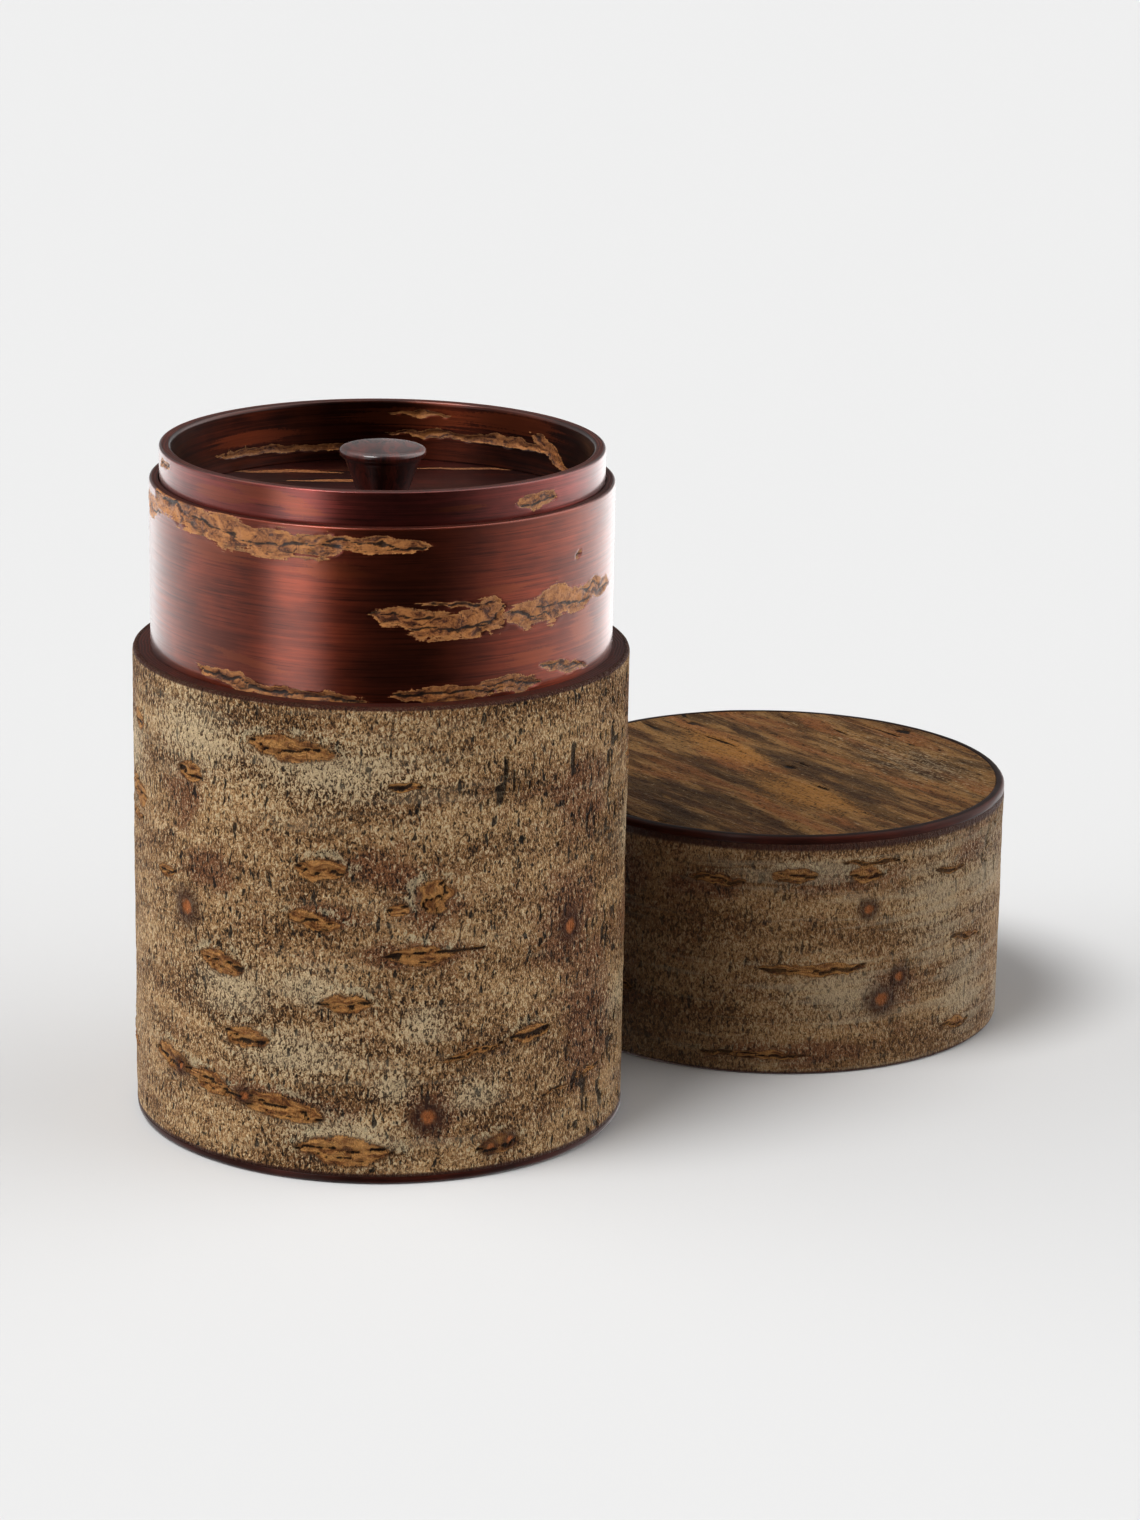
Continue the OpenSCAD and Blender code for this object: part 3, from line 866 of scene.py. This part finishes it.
# ---------------------------------------------------------------------------
# Knob of the inner lid: turned from dark hardwood on a small lathe, a cone
# that widens to a thin rounded edge under a slightly domed top, polished.
# Its tenon goes through the floor and the board, and is glued.
# ---------------------------------------------------------------------------
knob_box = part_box("lid_knob")
knob_high, knob_low = knob_box[1].z * 1000, knob_box[0].z * 1000
knob_r = knob_box[1].x * 1000
knob_rise = 0.35
knob_round = 0.8
knob_edge_z = knob_high - knob_rise - knob_round
knob_dome = [(knob_r * s, knob_high - knob_rise * s * s) for s in (0.85, 0.7, 0.5, 0.3, 0.1)]
tenon_r, foot_r = 2.2, 3.2
knob_columns = 160
knob_outline = outline(
    [(0.2, knob_low), (tenon_r, knob_low), (tenon_r, lid_floor), (foot_r, lid_floor)]
    + [(foot_r + 0.2, lid_floor + 0.5), (6.15, knob_edge_z - 1.05)]
    + rounding(knob_r - knob_round, knob_edge_z, knob_round, -70, 85, 10)
    + knob_dome,
    [2, 3, 2, 2, 20, 2] + [1] * 10 + [2] * 5,
)
knob_around, knob_height = unroll(knob_outline, knob_columns, knob_r)
knob_relief = 0.012 * grain(knob_around, knob_height, 40, 0.5, 700, 2 * pi * knob_r)
knob_grid = revolve(knob_outline, knob_columns, knob_relief)
knob = turned("lid_knob_turned", knob_grid, {}, poles=True)


def turned_wood(name):
    """Turned hardwood: near-black brown with redder upright figure, and the
    lathe's fine rings, under a hard polish."""
    f = Finish(name)
    figure = f.noise((1.6, 5, 9), 3, 0.6, 0.8)
    pores = f.noise((0.35, 0.5, 1.8), 2, 0.6, seed=6)
    tone = f.mix(rgb(40, 14, 11), rgb(92, 36, 26), figure.rise(0.32, 0.7))
    tone = f.mix(tone, rgb(20, 7, 6), (1 - pores.rise(0.34, 0.46)) * 0.7)
    rings = f.noise((30, 30, 0.22), 2, 0.5, seed=8)
    f.set(
        Base_Color=tone, Roughness=0.36 + 0.12 * pores, Specular_IOR_Level=0.3,
        Coat_Weight=1.0, Coat_Roughness=0.14, Coat_IOR=1.42,
    )
    f.bump(rings * 0.5 + pores * 0.5, 0.04)
    return f.material


knob.data.materials.append(turned_wood("turned_knob"))
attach(knob, "inner_lid")
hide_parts("lid_knob")

# ---------------------------------------------------------------------------
# Cap: raw bark round the side and a disc of raw bark set into the top, its
# fibres running slantwise. It stands on the table with its mouth down.
# ---------------------------------------------------------------------------
cap_top = cap_box[1].z * 1000
cap_outline = outline(
    [(bark_in_r, 2), (bark_in_r, 0)]
    + rounding(tube_r - rim_round, rim_round, rim_round, -90, 0, 3)
    + [(tube_r, cap_top), (bark_in_r, cap_top)],
    [1, 2, 1, 1, 1, 112, 2],
)
cap_slits = [
    (0.5, 35.4, 9, 3.0, 0), (18, 34.9, 6.5, 3.4, 0), (5.5, 18.6, 20, 2.6, 0),
    (-18, 34, 10, 2.2, 0), (44, 33, 9, 1.4, -5), (52, 20, 10, 1.2, -6),
    (48, 5, 9, 2.0, -6), (-8, 3.4, 22, 1.6, 0), (20, 36.8, 14, 1.0, -3),
]
cap_knots = [(19, 28.8, 3.0, 2.8, 0), (28, 16.1, 2.8, 3.0, 0), (23.3, 12.4, 4.4, 4.2, 0)]
cap_frost = [
    (40, 28, 16, 20, 0), (52, 12, 14, 20, 0), (6, 36, 22, 5, 0), (14, 14, 20, 8, 0),
    (60, 30, 20, 16, 0),
]
cap_rust = [
    (26, 14, 12, 10, 0), (-20, 33, 16, 6, 0), (4, 4, 30, 5, 0), (54, 36, 14, 8, 0),
    (10, 34, 24, 5, 0),
]
cap_pitted = [(62, 34, 16, 12, 0)]
cap_slits += strewn(20, 70, 335, 4, 38, (5, 15), (1.4, 4))
cap_knots += strewn(6, 70, 335, 5, 36, (2.6, 4.6), (2.8, 4.6))
cap_frost += strewn(9, 70, 335, 4, 38, (9, 22), (6, 14))
cap_rust += strewn(10, 70, 335, 4, 38, (9, 22), (5, 14))
cap_marks = (cap_slits, cap_knots, cap_frost, cap_rust, cap_pitted)
cap_rows = (6, 118)
cap_scraped = 2.6
relief, cap_fields = raw_skin(
    cap_outline, bark_columns, tube_r, cap_marks, 140, cap_rows, 0.0, cap_top, cap_scraped
)
cap_grid = revolve(cap_outline, bark_columns, relief, cap_centre)
cap_bark = turned("cap_bark_skin", cap_grid, cap_fields)
# The cap's raw bark: hazier, with less black between the grains, by wear, and darker all over by painted
# shade.
cap_bark.data.materials.append(raw_bark("raw_bark_cap", wear_and_shade=0.5, frosty=0.62))
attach(cap_bark, "cap")
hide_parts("cap_bark")

grain_turn = radians(-55)
top_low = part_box("cap_top_bark")[0].z * 1000
top_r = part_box("cap_top_bark")[1].x * 1000 - cap_centre[0]
top_hub, top_round = 0.3, 0.25
top_outline = outline(
    [(top_hub, top_low), (top_r, top_low), (top_r, cap_high - top_round)]
    + rounding(top_r - top_round, cap_high - top_round, top_round, 0, 90, 3)[1:]
    + [(top_hub, cap_high)],
    [2, 1, 1, 1, 1, 140],
)
top_columns = 620
top_turn = np.linspace(0, 2 * pi, top_columns, endpoint=False)[None, :]
top_x = top_outline[:, 0, None] * np.sin(top_turn)
top_y = -top_outline[:, 0, None] * np.cos(top_turn)
along_grain = top_x * cos(grain_turn) + top_y * sin(grain_turn)
across_grain = top_y * cos(grain_turn) - top_x * sin(grain_turn)
ridge = grain(along_grain, across_grain, 24, 4.2, 801)
furrow = grain(along_grain, across_grain, 9, 1.5, 802)
strand = grain(along_grain, across_grain, 3.2, 0.8, 803)
grit_noise = grain(along_grain, across_grain, 0.9, 0.7, 804)
gash = step(0.55, 0.85, grain(along_grain, across_grain, 6.5, 1.3, 805)) * step(-0.1, 0.5, ridge)
top_relief = 0.16 * ridge + 0.12 * furrow + 0.07 * strand + 0.05 * grit_noise - 0.40 * gash - 0.10
top_relief = np.minimum(top_relief, 0.3)
edge_of_top = step(0.0, 1.0, top_r - np.hypot(top_x, top_y))
top_relief = top_relief * edge_of_top
top_relief[:3] = 0
gold_zone = np.exp(-(((along_grain - 14) / 16) ** 2) - ((across_grain + 5) / 7) ** 2)
gold_zone = np.maximum(gold_zone, np.exp(-(((along_grain + 16) / 15) ** 2) - ((across_grain - 2) / 5) ** 2))
grey_zone = np.exp(-(((along_grain - 10) / 20) ** 2) - ((across_grain - 24) / 8) ** 2)
top_fields = {"ridge": ridge, "gash": gash, "gold": gold_zone, "grey": grey_zone}
top_grid = revolve(top_outline, top_columns, top_relief, cap_centre)
cap_top_bark = turned("cap_top_skin", top_grid, top_fields, poles=True)


def slant_bark(name):
    """Raw bark with its fibres drawn out along one direction: brown, olive and
    ochre streaks, black gashes, pale grey crests and a golden, gritty zone."""
    f = Finish(name)
    middle = (cap_centre[0] / 1000, cap_centre[1] / 1000, 0)
    streak = f.noise((17, 2.3, 17), 3, 0.6, 0.4, turn=grain_turn, centre=middle)
    band = f.noise((30, 6.5, 30), 3, 0.55, 0.3, seed=4, turn=grain_turn, centre=middle)
    hair = f.noise((2.4, 0.45, 2.4), 3, 0.65, 0.8, seed=8, turn=grain_turn, centre=middle)
    grit = f.noise((0.55, 0.42, 0.5), 2, 0.6, 0.8, seed=12)
    tone = f.mix(rgb(76, 50, 26), rgb(130, 98, 60), streak.rise(0.36, 0.62))
    tone = f.mix(tone, rgb(124, 80, 46), band.rise(0.50, 0.66) * 0.8)
    tone = f.mix(tone, rgb(48, 31, 15), (1 - band.rise(0.36, 0.50)) * 0.7)
    gold = (f.mark("gold") * 0.8 + (band - 0.5) + (grit - 0.5) * 0.8).rise(0.25, 0.75)
    tone = f.mix(tone, rgb(148, 106, 56), gold * 0.75)
    tone = f.mix(tone, rgb(22, 13, 7), (1 - (hair * 0.6 + grit * 0.4).rise(0.36, 0.50)) * 0.85)
    crest = (hair * 0.6 + grit * 0.4 + f.mark("grey") * 0.10).rise(0.56, 0.70)
    tone = f.mix(tone, rgb(168, 154, 126), crest * 0.5)
    gash_mask = (f.mark("gash") + (hair - 0.5) * 0.5).rise(0.25, 0.7)
    tone = f.mix(tone, rgb(12, 7, 5), gash_mask * 0.95)
    f.set(Base_Color=tone, Roughness=0.75 - 0.12 * crest, Specular_IOR_Level=0.15)
    f.bump(hair * 0.6 + grit * 0.5 - gash_mask * 0.4, 0.75)
    return f.material


cap_top_bark.data.materials.append(slant_bark("raw_bark_cap_top"))
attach(cap_top_bark, "cap")
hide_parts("cap_top_bark")
